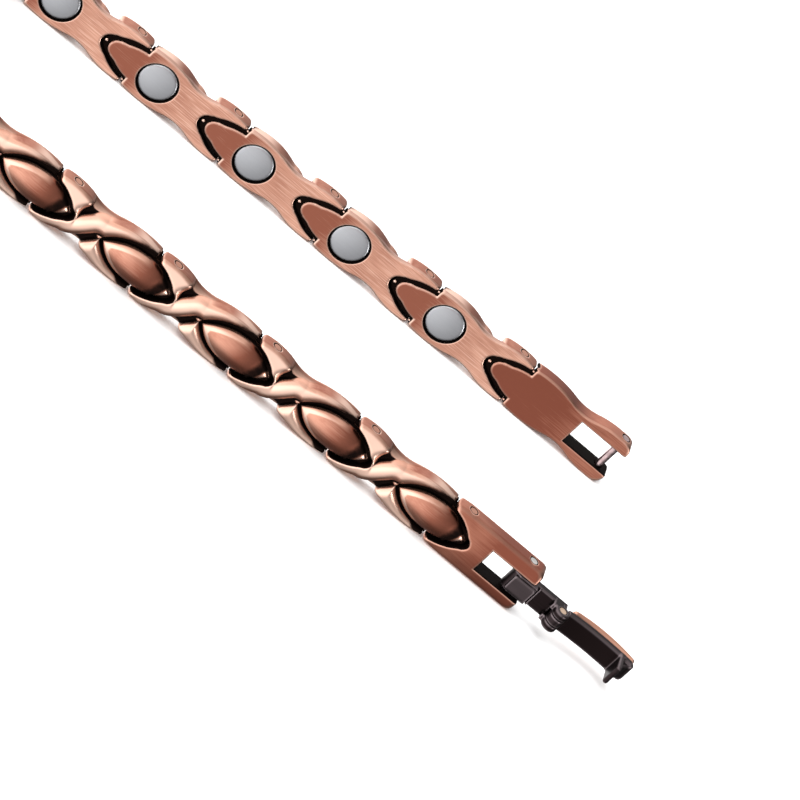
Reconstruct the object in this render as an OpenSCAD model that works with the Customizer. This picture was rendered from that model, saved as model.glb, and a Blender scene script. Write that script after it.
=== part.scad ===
// Link bracelet with magnets and a fold-over clasp, opened and standing on its long edge.
// Millimetres. +Z is up, the strands run along X and the free ends point to +X.
// The near strand (-Y) shows its outer face, the far strand (+Y) its inner face.

/* [Bracelet] */
// Links between the bend and the bar end
far_links = 5; // [3:1:7]
// Links between the bend and the clasp end
near_links = 5; // [3:1:7]
// Links in the bend
bend_links = 3; // [3:1:5]
// Distance from one joint to the next
pitch = 14.6; // [14:0.1:16]
// Width of the band at its widest places
band_w = 6.8; // [6.4:0.1:8]

/* [Link] */
// Width at the waist
waist_w = 5.3; // [4.8:0.1:5.6]
// Distance of the waist from the fork tips
waist_u = 6.9; // [6.5:0.1:7.3]
// Radius of the hollow side at the waist
waist_r = 6; // [5:0.5:8]
// Distance of the broad shoulder from the fork tips
shoulder_u = 12.2; // [11.8:0.1:12.6]
// Height of the side faces
side_h = 2.1; // [2:0.1:2.6]
// Height at the middle of the crowned front
crown_h = 2.6; // [2.5:0.1:3]
// Height of the floor between the raised bands
floor_h = 1.35; // [1.25:0.05:1.5]
// Radius of the joint pins
pin_r = 0.48; // [0.4:0.02:0.52]
// Distance of a joint pin from the fork tips
pin_u = 2.2; // [2.1:0.05:2.4]
// Radius of the rounded fork tips about the pin
tip_round_r = 2.05; // [1.9:0.05:2.1]
// Gap between fork tips and shoulder, and under the magnet's rim
joint_gap = 0.35; // [0.25:0.05:0.45]
// Half width of the fork's mouth
notch_half = 2.75; // [2.7:0.05:2.9]
// Depth of the fork on the front
notch_l = 4.4; // [4.3:0.1:4.6]
// Depth of the fork on the back, under the raised bands
notch_back_l = 5.3; // [5:0.1:5.4]
// Height up to which the fork is that deep
notch_back_h = 1.9; // [1.8:0.05:2]
// Length of the tongue beyond the shoulder
tongue_l = 4; // [3.8:0.1:4.2]
// Half width of the tongue's root
tongue_half = 2.15; // [2:0.05:2.2]
// Height of the tongue
tongue_h = 1.8; // [1.7:0.05:2]
// Radius of the fork's and the tongue's curved flanks
flank_r = 6.2; // [6:0.2:8]
// Radius of the fork's narrow end on the front
notch_nose_r = 0.5; // [0.3:0.05:0.6]
// Radius of that end on the back
back_nose_r = 1.25; // [1:0.05:1.3]
// Radius of the tongue's tip
tongue_nose_r = 1.1; // [0.9:0.05:1.2]

/* [Relief] */
// Width of the raised S-shaped bands
ribbon_w = 2.4; // [2:0.1:2.6]
// Place where the two bands cross, from the fork tips
cross_u = 5.9; // [5.7:0.1:6.4]
// Half length of the bands' turn from edge to edge
turn_l = 2.55; // [2.2:0.05:3]
// Groove beside the upper band at its middle
groove_in = 0.15; // [0.1:0.05:0.3]
// Further width of that groove at the link's edge
groove_out = 0.75; // [0.4:0.05:0.9]
// Length of the domed eye
eye_l = 9.7; // [9:0.1:10]
// Width of the domed eye
eye_w = 4.3; // [4:0.1:4.4]
// Height of the eye's middle
eye_h = 3.1; // [3.1:0.05:3.3]
// Height of the eye's rim
eye_rim_h = 2; // [1.9:0.05:2.2]
// Distance of the eye's middle from the shoulder line
eye_back = 1.1; // [0.9:0.1:1.3]
// Groove around the eye
eye_groove = 0.5; // [0.3:0.05:0.6]

/* [Magnet] */
// Radius of the magnet
magnet_r = 2.37; // [2:0.01:2.4]
// Thickness of the magnet
magnet_h = 1; // [0.8:0.05:1.05]
// Gap between the magnet and its pocket
magnet_gap = 0.13; // [0.05:0.01:0.15]
// Distance of the magnet's middle from the shoulder line
magnet_back = 3.1; // [3:0.05:3.3]
// How far the magnet lies below the back face
magnet_sink = 0.06; // [0.03:0.01:0.1]

/* [End links] */
// Length of the clasp end link
clasp_end_l = 13.2; // [13:0.1:14]
// Length of its slot
clasp_slot_l = 6.4; // [6.3:0.1:6.6]
// Width of its slot
clasp_slot_w = 3.3; // [3.2:0.05:3.5]
// Distance of the clasp pin from the tips at the slot's end
clasp_pin_in = 2; // [1.8:0.1:2.1]
// How far the bar end link reaches past a link's fork tips
bar_end_over = 0.3; // [0.1:0.1:0.6]
// Length of the bar end link's slot
bar_slot_l = 6.6; // [6.2:0.1:7]
// Width of that slot
bar_slot_w = 3.5; // [3.3:0.05:3.7]
// Distance of the bar from the tips of that link
bar_in = 1.4; // [1.3:0.05:1.6]
// Radius of the round corners of both end links
corner_r = 0.7; // [0.4:0.05:0.9]

/* [Clasp] */
// Width of the clasp's arm and cover
arm_w = 2.9; // [2.6:0.05:3]
// Radius of the clasp's own pins
clasp_pin_r = 0.475; // [0.4:0.005:0.5]
// Running clearance around those pins
pin_run = 0.045; // [0.03:0.005:0.08]
// Length of the raised block over the clasp pin
block_l = 3; // [2.6:0.1:3.2]
// Height of the block's top
block_h = 2.4; // [2.2:0.05:2.45]
// Width of the block's top
block_top_w = 2.3; // [2:0.1:2.6]
// Distance of the middle hinge from the clasp pin
hinge_u = 6.3; // [6.1:0.1:6.6]
// Height of the middle hinge
hinge_h = 2.15; // [2.1:0.01:2.3]
// Radius of the hinge knuckles
knuckle_r = 1; // [0.85:0.05:1.05]
// Width of the middle knuckle
knuckle_w = 1; // [0.9:0.05:1.2]
// Side gap between knuckles, and gap behind them
knuckle_gap = 0.08; // [0.05:0.01:0.12]
// Lower and upper face of the arm's neck
neck_low = 0.35; // [0.2:0.05:0.5]
neck_h = 1.1; // [0.9:0.05:1.2]
// Length of the cover beyond the middle hinge
cover_l = 10.6; // [10.3:0.05:10.65]
// Thickness of the cover's dark plate
cover_t = 1.2; // [0.9:0.05:1.3]
// Step from the hinge's middle to the cover's inner face
cover_drop = 0.4; // [0.35:0.01:0.45]
// Distance of the hook from the middle hinge
hook_u = 8.6; // [8.4:0.05:8.8]
// Thickness of the hook
hook_t = 0.65; // [0.5:0.05:0.8]
// Height of the hook
hook_h = 2.2; // [1.8:0.05:2.3]
// Length of the slanted heel behind the hook
heel_l = 0.9; // [0.6:0.05:1.1]
// Width of the copper cap
cap_w = 3.1; // [2.9:0.05:3.2]
// Thickness of the cap at its middle
cap_t = 1.25; // [0.9:0.05:1.4]
// Sweep of the cap's curved outside
cap_sag = 0.45; // [0.2:0.05:0.6]
// Start of the cap from the middle hinge
cap_u = 1.35; // [1.3:0.05:1.6]

/* [Hidden] */
$fn = 64;
slack = 0.02;              // gap that keeps two fixed pieces apart
over = 1;                  // how far a cutting body runs past the surface it cuts
half_w = band_w / 2;
waist_half = waist_w / 2;
mid_h = side_h / 2;        // height of all pin axes above the back face
lip = 0.4;                 // shoulder stock that the hollow is cut from
link_n = far_links + bend_links + near_links;
turn = 180 / (bend_links + 1);
next_pin_u = pitch + pin_u;
crown_r = (pow(half_w, 2) + pow(crown_h - side_h, 2)) / (2 * (crown_h - side_h));
prong_r = bulge_r(waist_u - pin_u);
shoulder_r = bulge_r(shoulder_u - waist_u);
prong_end_u = pin_u + (waist_u - pin_u) * prong_r / (prong_r + waist_r);
shoulder_start_u = waist_u + (shoulder_u - waist_u) * waist_r / (shoulder_r + waist_r);
eye_u = pitch - eye_back;
magnet_u = pitch - magnet_back;
bar_u = bar_in - bar_end_over;
clasp_slot_u = clasp_end_l - clasp_slot_l;
clasp_pin_u = clasp_end_l - clasp_pin_in;
mid_hinge_u = clasp_pin_u + hinge_u;
cover_in_h = hinge_h - cover_drop;   // inner face of the open cover
cover_end_u = mid_hinge_u + cover_l;
steps = 10;                          // points along each band's turn

function bulge_r(du) =
    (pow(du, 2) + pow(half_w - waist_half, 2)) / (2 * (half_w - waist_half)) - waist_r;
function two(k) = str(k < 10 ? "0" : "", k);
// Heading of link k in the plan; 0 is the bar end link and link_n + 1 the clasp end link
function heading(k) =
    180 + turn * max(0, min(k - far_links, bend_links + 1));
// Place of joint pin k, before the whole is centred
function joint(k) =
    k <= 0 ? [0, 0] : joint(k - 1) + pitch * [cos(heading(k)), sin(heading(k))];

bend_x = joint(far_links + 1)[0];
near_y = joint(link_n)[1];
x_min = bend_x - (eye_h - mid_h);
x_max = joint(link_n)[0] - pin_u + cover_end_u;
y_min = near_y - (cover_in_h + hook_h - mid_h);
y_max = eye_h - mid_h;
centre = [(x_min + x_max) / 2, (y_min + y_max) / 2];

// Puts a piece drawn flat (x along the chain, y across, z outwards) at its place in the chain
module on_chain(k) {
    start = joint(k - 1);
    translate([start[0] - centre[0], start[1] - centre[1], half_w])
        rotate([0, 0, heading(k)]) rotate([90, 0, 0]) translate([-pin_u, 0, -mid_h])
            children();
}

// The bar end link ends where link 1 begins, so it lies one pitch before it
module on_bar_end() {
    on_chain(1) translate([-pitch, 0, 0]) children();
}

module across(u, h, r, w) {
    translate([u, 0, h]) rotate([90, 0, 0]) cylinder(h = w, r = r, center = true);
}

// A side view (x along the chain, y outwards) made as wide as w
module side_view(w) {
    rotate([90, 0, 0]) linear_extrude(w, center = true) children();
}

module strip(u0, u1) {
    translate([u0, -half_w]) square([u1 - u0, band_w]);
}

module bulge(u, r, u0, u1) {
    intersection() {
        strip(u0, u1);
        translate([u, half_w - r]) circle(r);
        translate([u, r - half_w]) circle(r);
    }
}

module waist() {
    difference() {
        strip(prong_end_u, shoulder_start_u);
        for (s = [-1, 1]) translate([waist_u, s * (waist_half + waist_r)]) circle(waist_r);
    }
}

module link_outline() {
    bulge(pin_u, prong_r, 0, prong_end_u);
    waist();
    bulge(shoulder_u, shoulder_r, shoulder_start_u, pitch + lip);
}

// Pointed arch from a root of half width b to a tip at length l, its nose rounded
module arch(b, l, nose_r) {
    chord = norm([l, b]);
    reach = sqrt(pow(flank_r, 2) - pow(chord / 2, 2));
    mid = [l / 2, b / 2] - reach * [b, l] / chord;
    intersection() {
        translate([0, -b]) square([l - nose_r, 2 * b]);
        translate(mid) circle(flank_r);
        translate([mid[0], -mid[1]]) circle(flank_r);
    }
    translate([l - nose_r, 0]) circle(nose_r);
}

module eye_outline(grow) {
    hl = eye_l / 2 + grow;
    hw = eye_w / 2 + grow;
    r = (pow(hl, 2) + pow(hw, 2)) / (2 * hw);
    translate([eye_u, 0]) intersection() {
        translate([0, hw - r]) circle(r);
        translate([0, r - hw]) circle(r);
    }
}

// Middle line of the upper band: along one edge, over, and along the other
function band_v(u) =
    (half_w - ribbon_w / 2) * sin(90 * max(-1, min(1, (u - cross_u) / turn_l)));
function band_dir(u) =
    abs(u - cross_u) >= turn_l ? 0
    : atan((half_w - ribbon_w / 2) * PI / 2 / turn_l * cos(90 * (u - cross_u) / turn_l));
// One side of the band; the half width is w0, and grows by dw towards the link's edges
function band_side(s, w0, dw) =
    [for (i = [-steps - 1:steps + 1])
        let (u = abs(i) > steps ? (i < 0 ? -over : pitch + over) : cross_u + turn_l * i / steps,
             a = band_dir(u), v = band_v(u), h = w0 + dw * pow(abs(v) / half_w, 2))
        [u - s * h * sin(a), v + s * h * cos(a)]];

module band(w0, dw) {
    low = band_side(-1, w0, dw);
    polygon(concat(band_side(1, w0, dw), [for (i = [len(low) - 1:-1:0]) low[i]]));
}

module relief_outline() {
    intersection() {
        link_outline();
        union() {
            band(ribbon_w / 2, 0);
            difference() {
                mirror([0, 1]) band(ribbon_w / 2, 0);
                band(ribbon_w / 2 + groove_in, groove_out);
            }
        }
    }
}

// Everything below the crowned front, from u0 to u1
module crown(u0, u1) {
    translate([u0, 0, crown_h - crown_r]) rotate([0, 90, 0])
        cylinder(h = u1 - u0, r = crown_r, $fn = 180);
}

// The hollow that the next link's fork tips turn in
module shoulder_hollow() {
    across(next_pin_u, mid_h, tip_round_r + joint_gap, band_w + 2 * over);
}

module tongue() {
    translate([pitch - lip, 0, 0]) linear_extrude(tongue_h) arch(tongue_half, tongue_l + lip, tongue_nose_r);
}

module eye() {
    sag = eye_h - eye_rim_h;
    ride_r = (pow(eye_w / 2, 2) + pow(sag, 2)) / (2 * sag);
    long_r = (pow(eye_l / 2, 2) + pow(sag, 2)) / (2 * sag);
    intersection() {
        translate([0, 0, mid_h]) linear_extrude(eye_h) eye_outline(0);
        translate([eye_u, 0, eye_h - long_r]) rotate([90, 0, 0])
            rotate_extrude($fn = 180) translate([long_r - ride_r, 0]) circle(ride_r);
    }
}

// The fork's hollow, and the stock outside its rounded tips
module fork_cut() {
    translate([0, 0, -over]) linear_extrude(crown_h + 2 * over) {
        arch(notch_half, notch_l, notch_nose_r);
        translate([-over, -notch_half]) square([over, 2 * notch_half]);
    }
    translate([0, 0, -over]) linear_extrude(over + notch_back_h)
        arch(notch_half, notch_back_l, back_nose_r);
    difference() {
        translate([-over, -half_w - over, -over])
            cube([over + pin_u, band_w + 2 * over, crown_h + 2 * over]);
        across(pin_u, mid_h, tip_round_r, band_w + 4 * over);
    }
}

module magnet_pocket() {
    translate([magnet_u, 0, -over])
        cylinder(h = magnet_h + magnet_sink + slack + over, r = magnet_r + magnet_gap);
}

module link() {
    color("#c4805f") difference() {
        union() {
            difference() {
                intersection() {
                    union() {
                        linear_extrude(floor_h) link_outline();
                        linear_extrude(crown_h + over) relief_outline();
                    }
                    crown(-over, pitch + 2 * over);
                }
                shoulder_hollow();
                translate([0, 0, floor_h]) linear_extrude(crown_h) eye_outline(eye_groove);
            }
            tongue();
            eye();
        }
        fork_cut();
        magnet_pocket();
        across(pin_u, mid_h, pin_r + slack, band_w + 2 * over);
        across(next_pin_u, mid_h, pin_r + slack, band_w);
    }
}

module magnet() {
    color("#b4b7bb") translate([magnet_u, 0, magnet_sink]) cylinder(h = magnet_h, r = magnet_r);
}

module joint_pin() {
    color("#7a4434") across(pin_u, mid_h, pin_r, band_w - 4 * slack);
}

// Slot between two prongs that runs out at u1
module slot(u0, u1, w) {
    translate([u0, -w / 2, -over]) cube([u1 - u0, w, crown_h + 2 * over]);
}

module end_link_clasp() {
    straight_u = clasp_end_l - corner_r;
    color("#c4805f") difference() {
        intersection() {
            linear_extrude(crown_h + over) {
                bulge(pin_u, prong_r, 0, pin_u);
                strip(pin_u, straight_u);
                translate([straight_u, corner_r - half_w])
                    square([corner_r, band_w - 2 * corner_r]);
                for (s = [-1, 1]) translate([straight_u, s * (half_w - corner_r)]) circle(corner_r);
            }
            crown(-over, clasp_end_l + over);
        }
        fork_cut();
        slot(clasp_slot_u, clasp_end_l + over, clasp_slot_w);
        across(pin_u, mid_h, pin_r + slack, band_w + 2 * over);
        across(clasp_pin_u, mid_h, clasp_pin_r + slack, band_w + 2 * over);
    }
}

module end_link_bar() {
    start_u = corner_r - bar_end_over;
    color("#b06d50") difference() {
        union() {
            difference() {
                intersection() {
                    linear_extrude(crown_h + over) {
                        strip(start_u, pin_u);
                        translate([-bar_end_over, corner_r - half_w])
                            square([corner_r, band_w - 2 * corner_r]);
                        for (s = [-1, 1])
                            translate([start_u, s * (half_w - corner_r)]) circle(corner_r);
                        bulge(pin_u, prong_r, pin_u, prong_end_u);
                        waist();
                        bulge(shoulder_u, shoulder_r, shoulder_start_u, pitch + lip);
                    }
                    crown(-bar_end_over - over, pitch + 2 * over);
                }
                shoulder_hollow();
                translate([0, 0, floor_h]) linear_extrude(crown_h) eye_outline(eye_groove);
            }
            tongue();
            eye();
        }
        slot(-bar_end_over - over, bar_slot_l - bar_end_over, bar_slot_w);
        across(bar_u, mid_h, clasp_pin_r + slack, band_w + 2 * over);
        across(next_pin_u, mid_h, pin_r + slack, band_w);
    }
}

module catch_bar() {
    color("#c9a089") across(bar_u, mid_h, clasp_pin_r, band_w - 4 * slack);
}

module clasp_pin() {
    color("#d6d3cf") across(clasp_pin_u, mid_h, clasp_pin_r, band_w - 4 * slack);
}

module clasp_arm() {
    neck_end = mid_hinge_u - knuckle_r - knuckle_gap;
    block_u = clasp_pin_u + block_l - clasp_pin_r;
    color("#2b2326") difference() {
        union() {
            side_view(arm_w) {
                translate([clasp_pin_u, mid_h]) circle(mid_h - slack);
                translate([clasp_pin_u, neck_low])
                    square([block_u - clasp_pin_u, side_h - neck_low]);
                translate([clasp_pin_u, neck_low]) square([neck_end - clasp_pin_u, neck_h]);
            }
            side_view(block_top_w)
                translate([clasp_pin_u - clasp_pin_r, neck_low])
                    square([block_u - clasp_pin_u + clasp_pin_r, block_h - neck_low]);
            side_view(arm_w) {
                translate([neck_end - over, neck_low])
                    square([over + 1.5 * knuckle_r, hinge_h - neck_low]);
                translate([mid_hinge_u, hinge_h]) circle(knuckle_r);
            }
        }
        side_view(knuckle_w + 2 * knuckle_gap) {
            translate([mid_hinge_u, hinge_h]) circle(knuckle_r + knuckle_gap);
            translate([neck_end, -over]) square([2 * knuckle_r + over, hinge_h + over]);
        }
        translate([neck_end - over - slack, -arm_w, neck_low + neck_h])
            cube([over + slack, 2 * arm_w, hinge_h]);
        across(clasp_pin_u, mid_h, clasp_pin_r + pin_run, arm_w + 2 * over);
        across(mid_hinge_u, hinge_h, clasp_pin_r + slack, arm_w + 2 * over);
    }
}

module cover_pin() {
    color("#b8694a") across(mid_hinge_u, hinge_h, clasp_pin_r, arm_w - 4 * slack);
}

module clasp_cover() {
    hook_mid = mid_hinge_u + hook_u + hook_t / 2;
    plate_u = mid_hinge_u + knuckle_r + 2 * knuckle_gap;
    color("#2b2326") difference() {
        union() {
            side_view(knuckle_w) {
                translate([mid_hinge_u, hinge_h]) circle(knuckle_r);
                translate([mid_hinge_u, cover_in_h - cover_t / 2])
                    square([plate_u - mid_hinge_u + over, cover_t / 2]);
            }
            side_view(arm_w) {
                translate([plate_u, cover_in_h - cover_t])
                    square([cover_end_u - plate_u, cover_t]);
                translate([hook_mid - hook_t / 2, cover_in_h - slack])
                    square([hook_t, hook_h - hook_t / 2 + slack]);
                translate([hook_mid, cover_in_h + hook_h - hook_t / 2]) circle(hook_t / 2);
                polygon([[hook_mid, cover_in_h], [hook_mid + hook_t / 2 + heel_l, cover_in_h],
                         [hook_mid, cover_in_h + hook_h / 2]]);
            }
        }
        across(mid_hinge_u, hinge_h, clasp_pin_r + pin_run, knuckle_w + 2 * over);
    }
}

module cover_cap() {
    cap_l = cover_l - cap_u;
    top = cover_in_h - cover_t - 2 * slack;
    sweep_r = (pow(cap_l / 2, 2) + pow(cap_sag, 2)) / (2 * cap_sag);
    color("#b87355") side_view(cap_w) intersection() {
        translate([mid_hinge_u + cap_u, top - cap_t]) square([cap_l, cap_t]);
        translate([mid_hinge_u + cap_u + cap_l / 2, top - cap_t + sweep_r])
            circle(sweep_r, $fn = 240);
    }
}

for (k = [1:link_n]) {
    on_chain(k) link();
    on_chain(k) magnet();
}
for (k = [1:link_n + 1])
    on_chain(k) joint_pin();
on_chain(link_n + 1) end_link_clasp();
on_bar_end() end_link_bar();
on_bar_end() catch_bar();
on_chain(link_n + 1) clasp_pin();
on_chain(link_n + 1) clasp_arm();
on_chain(link_n + 1) cover_pin();
on_chain(link_n + 1) clasp_cover();
on_chain(link_n + 1) cover_cap();
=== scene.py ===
"""Looks of the magnetic link bracelet: cast links with rubbed-back patina, magnets and clasp."""

import math

import bpy
import numpy as np
from mathutils import Matrix, Vector


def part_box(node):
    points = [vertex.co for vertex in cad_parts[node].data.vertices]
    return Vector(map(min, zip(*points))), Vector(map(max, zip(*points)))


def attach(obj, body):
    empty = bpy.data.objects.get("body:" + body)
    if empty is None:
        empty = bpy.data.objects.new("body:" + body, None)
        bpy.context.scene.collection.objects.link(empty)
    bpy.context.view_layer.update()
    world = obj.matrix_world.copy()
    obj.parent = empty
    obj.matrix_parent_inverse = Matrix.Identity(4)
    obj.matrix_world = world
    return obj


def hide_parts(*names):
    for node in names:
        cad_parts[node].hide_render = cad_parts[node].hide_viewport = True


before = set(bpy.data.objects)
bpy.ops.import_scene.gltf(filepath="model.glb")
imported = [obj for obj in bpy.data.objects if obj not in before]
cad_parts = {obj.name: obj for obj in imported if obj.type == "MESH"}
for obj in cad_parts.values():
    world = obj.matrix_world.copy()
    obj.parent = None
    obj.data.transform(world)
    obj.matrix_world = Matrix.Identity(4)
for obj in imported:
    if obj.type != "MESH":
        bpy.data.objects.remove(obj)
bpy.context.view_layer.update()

MM = 0.001

# The link, in millimetres: u along the chain, v across the band, w outwards
PITCH = 14.6
PIN_U = 2.2          # fork pin from the fork tips
PIN_R = 0.48
MID_H = 1.05         # height of all pins
HALF_W = 3.4
WAIST_HALF, WAIST_U, WAIST_R = 2.65, 6.9, 6.0
SHOULDER_U = 12.2
SIDE_H, CROWN_H, FLOOR_H = 2.1, 2.6, 1.35
TIP_R = 2.05         # round fork tips about the pin
HOLLOW_R = 2.4       # shoulder hollow about the next link's pin
NOTCH_HALF, NOTCH_L, NOTCH_NOSE = 2.64, 5.08, 1.2
TONGUE_HALF, TONGUE_L, TONGUE_NOSE, TONGUE_H = 2.2, 4.1, 1.2, 1.8
ARCH_R = 6.2         # curved flanks of fork hollow and tongue
FRONT_NOTCH_L, FRONT_NOSE = 4.4, 0.5    # the fork hollow where it runs through to the front
NOTCH_H = 1.1        # height up to which it has its full depth
CROSS_U = 5.8        # middle of the S-shaped band
BAND_TURN = 3.4      # half length of its turn from edge to edge
BAND_SHIFT = 1.55    # offset of its two edges along the chain
BAND_SWING = 2.8
BAND_V = 0.1         # offset of its middle across the link
BAND_LEAVES = 2.0    # how fast its edge leaves the plate past the turn
BAND_ROUND = 1.3     # rounding of the raised bands and facets
UPPER_U, UPPER_V, UPPER_BOW = 4.7, 1.2, 0.33     # bowed end of the upper groove by the fork
LOWER_U, LOWER_V, LOWER_LEAN, LOWER_ROUND = 8.25, 0.3, 0.75, 0.4   # slanted end of the lower one
EYE_U, EYE_L, EYE_W, EYE_H, EYE_RIM = 13.5, 9.7, 4.3, 3.1, 2.0
RING_W, RING_MORE = 0.38, 0.04       # groove round a link's eye, and its change across the link
RING_LEAN, RING_CHANGE = 0.2, 0.8
BEAD_U, BEAD_V, BEAD_RISE, BEAD_SPREAD = 8.05, 0.1, 0.9, 0.2   # glinting rise of the floor
EYE_GROOVE = 0.5     # groove round the eye of the bar's end link
MAGNET_U, MAGNET_R, POCKET_R, POCKET_D = 11.5, 2.37, 2.5, 1.08
MAGNET_SUNK, MAGNET_DOME, MAGNET_TOP = 0.04, 0.16, 1.06
LINKS = 13
TONGUE_ROOT = 0.4    # how far the tongue starts inside the shoulder
TONGUE_BACK = 1.2    # how far tongue and step run back under the plate
STEP_L, STEP_W, STEP_MID, STEP_HALF = 0.8, 0.35, 0.63, 0.27   # lower step round the tongue
LIP_HALF, LIP_OVER = 3.1, 0.08       # the step runs out to this at the shoulder
NUB_OFF, NUB_V, NUB_R = 0.5, 2.68, 0.24   # round nubs on that step
NUB_LESS = 0.06      # how much smaller the two outer ones are
BORE_R = PIN_R + 0.04

# End links and clasp, in the same frame
CLASP_END_L, CLASP_PIN_U, CLASP_SLOT_U, CLASP_SLOT_HALF = 13.2, 11.2, 6.8, 1.65
BAR_OVER, BAR_SLOT_U, BAR_SLOT_HALF, BAR_U = 0.3, 6.3, 1.75, 1.1
OPEN = 99            # end of a slot that is open
CLASP_BORE_R = 0.52
ARM_LOW, ARM_HALF = 0.35, 1.45
BARREL_R = 1.03
BLOCK_BACK, BLOCK_END_U, BLOCK_LESS, BLOCK_H, BLOCK_HALF = 0.48, 13.72, 0.1, 2.4, 1.2
RIDGE_FROM, RIDGE_TO, RIDGE_H = 0.2, 0.42, 1.75     # small ridge past the block
NECK_SHORT, NECK_H, TAIL_OVER, TAIL_H = 1.08, 1.45, 0.42, 1.04
KNUCKLE_U, KNUCKLE_H, KNUCKLE_R = 17.5, 2.15, 1.0
EAR_IN, STEM_BACK, STEM_OVER = 0.58, 1.4, 0.1       # outer knuckles and their stem
MID_KNUCKLE_HALF, MID_BORE_R, EAR_BORE_R = 0.5, 0.52, 0.49
COVER_IN, COVER_END_U = 1.75, 28.1
PLATE_U = KNUCKLE_U + 0.75
WEB_OVER, WEB_T, WEB_LOW = 1, 0.6, 0.05             # joins the middle knuckle to the plate
PLATE_GAP = 0.08     # gap between the plate and the outer knuckles
HOOK_U, HOOK_T, HOOK_H, HOOK_ROOT = 26.1, 0.65, 2.2, 0.5
HEEL_L, HEEL_IN = 1.0, 0.35          # sloping heel behind the hook
HEEL_SLOPE = 0.72, 0.69
COVER_BOW, PLATE_T = 0.35, 0.85
CAP_U, CAP_LOW, CAP_SAG, CAP_HALF = 1.35, -0.68, 0.8, 1.55
CAP_GAP, CAP_CROWN = 0.04, 0.3

# Roundings of edges, in millimetres
CRISP, FINE, SOFT = 0.1, 0.2, 0.3
PLATE_ROUND, SHOULDER_ROUND, BACK_ROUND, END_BACK_ROUND = 0.5, 0.25, 0.26, 0.22
ARCH_ROUND, NUB_BLEND, TONGUE_BLEND, EYE_GROOVE_ROUND = 0.6, 0.06, 0.08, 0.4
CLASP_END_ROUND, BAR_TIP_ROUND, POCKET_ROUND, MAGNET_ROUND = 0.9, 1.4, 0.12, 0.16
BLOCK_ROUND, EAR_ROUND, EAR_IN_ROUND, ARM_ROUND = 0.45, 0.25, 0.15, 0.22
KNUCKLE_ROUND, COVER_ROUND, COVER_FOOT_ROUND, COVER_END_ROUND = 0.12, 0.35, 0.15, 0.5
HOOK_BLEND, CAP_ROUND, CAP_END_ROUND = 0.25, 0.45, 0.5

# Marks for the materials: nearness to a hollow, and tint from pale metal to dark metal
# Both marks also carry painted light: painted shade as nearness or dark tint, painted highlights
# as pale tint
PATINA_AND_SHADE_REACH = 0.16    # metal nearer than this to a hollow is dark; painted shade is given as such nearness
FAR = 9.0            # far from every hollow
HIGHLIGHT_TINT = -0.5          # tint of a painted highlight: the light metal colour
SKIN = 0.06          # points this close to a shape lie on it
LEDGE_IN, LEDGE_BACK, LEDGE_H, LEDGE_BLACK = 0.05, 0.1, 1, (0.34, 0.14)   # the black step: patina, and painted shade in the gap
# Tops of the nubs, which carry a painted highlight
NUB_SKIN, NUB_TOP = 0.02, 0.07
BAND_CLEAN_H = 0.35  # the bands are clean from this far above the floor

# Ranges over which a mark fades in, in millimetres, and how strong it gets
SHADE_STEP, SHADE_REACH, SHADE_H = 0.4, (1.4, 0.1), (1.6, 2.0)   # painted shade above the grooves
SHADE_TINT, SHADE_DARK = 0.9, 0.4
BACK_PLATE, BACK_TIP, BACK_H = (2, 12), (11.5, 15.5), (0.45, 0.2)
LINK_BACK_TINT = 0.3, 0.95           # of the plate and of the tongue
# Painted shade on the side walls, darkest in the waist
WALL_IN, WALL_H, WALL_WAIST = (-0.25, -0.05), (2.0, 1.7), (3.0, 0.5)
WALL_TINT, WAIST_TINT = 0.65, 0.35
# Painted shade at the far ends of the bands
BAND_END_U, BAND_END_V, BAND_END_H = (10.8, 12.0), (3.5, 2.6), (0.9, 1.5)
BAND_END_LEAN, BAND_END_TINT, BAND_END_DARK = 0.5, 0.7, 0.6
EYE_LEAN = 0.3       # the eye's ranges lean across it
# Painted light on the eye: painted shade along its face and at its far end, painted highlights on
# its rim and tip
EYE_TIP, EYE_SHADED, EYE_SHADE_DARK = (17.1, 18.0), (14.4, 16.8), 0.72
EYE_WALL_H = (EYE_RIM - 0.4, EYE_RIM - 0.15)
EYE_EDGE, EYE_EDGE_END, EYE_START = (-0.7, -0.35), (14.5, 11.5), (10.0, 9.2)
EYE_FACE, EYE_FACE_TINT, EYE_FACE_MORE = (10.5, 15.5), 0.4, 0.5
CLASP_END_TINT, CLASP_END_MORE, CLASP_END_RANGE = 0.5, 0.35, (3, 9)
BAR_END_TINT, BAR_END_MORE, BAR_END_RANGE = 0.48, 0.5, (4, 12)
ARM_TINT, ARM_MORE, ARM_RANGE = 0.26, 0.44, (BLOCK_END_U, BLOCK_END_U + 0.5)
COVER_TINT, COVER_MORE = 0.4, 0.6
COVER_SHADE_U, COVER_SHADE_H = (PLATE_U, PLATE_U + 1), (COVER_IN + 0.4, COVER_IN)
DEEP_REACH, SHARP_REACH = (0.2, 0.4, 0.8), (0.1, 0.2, 0.3)
RUBBED, RUBBED_FACING, RUBBED_H, RUBBED_TINT = 0.45, (0.6, 0.98), (1.4, 2.0), (0.45, 0.05)


# Solids as distances (negative inside), meshed on a grid

def smax(a, b, k):
    """Intersection with its edge rounded by about k."""
    h = np.clip(k - np.abs(a - b), 0, None) / k
    return np.maximum(a, b) + h * h * k / 4


def smin(a, b, k):
    return -smax(-a, -b, k)


def arc_reach(l, b):
    """Centre of the arc of radius ARCH_R through (l, 0) and (0, b)."""
    chord = math.hypot(l, b)
    reach = math.sqrt(ARCH_R ** 2 - (chord / 2) ** 2)
    return l / 2 - reach * b / chord, b / 2 - reach * l / chord


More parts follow.
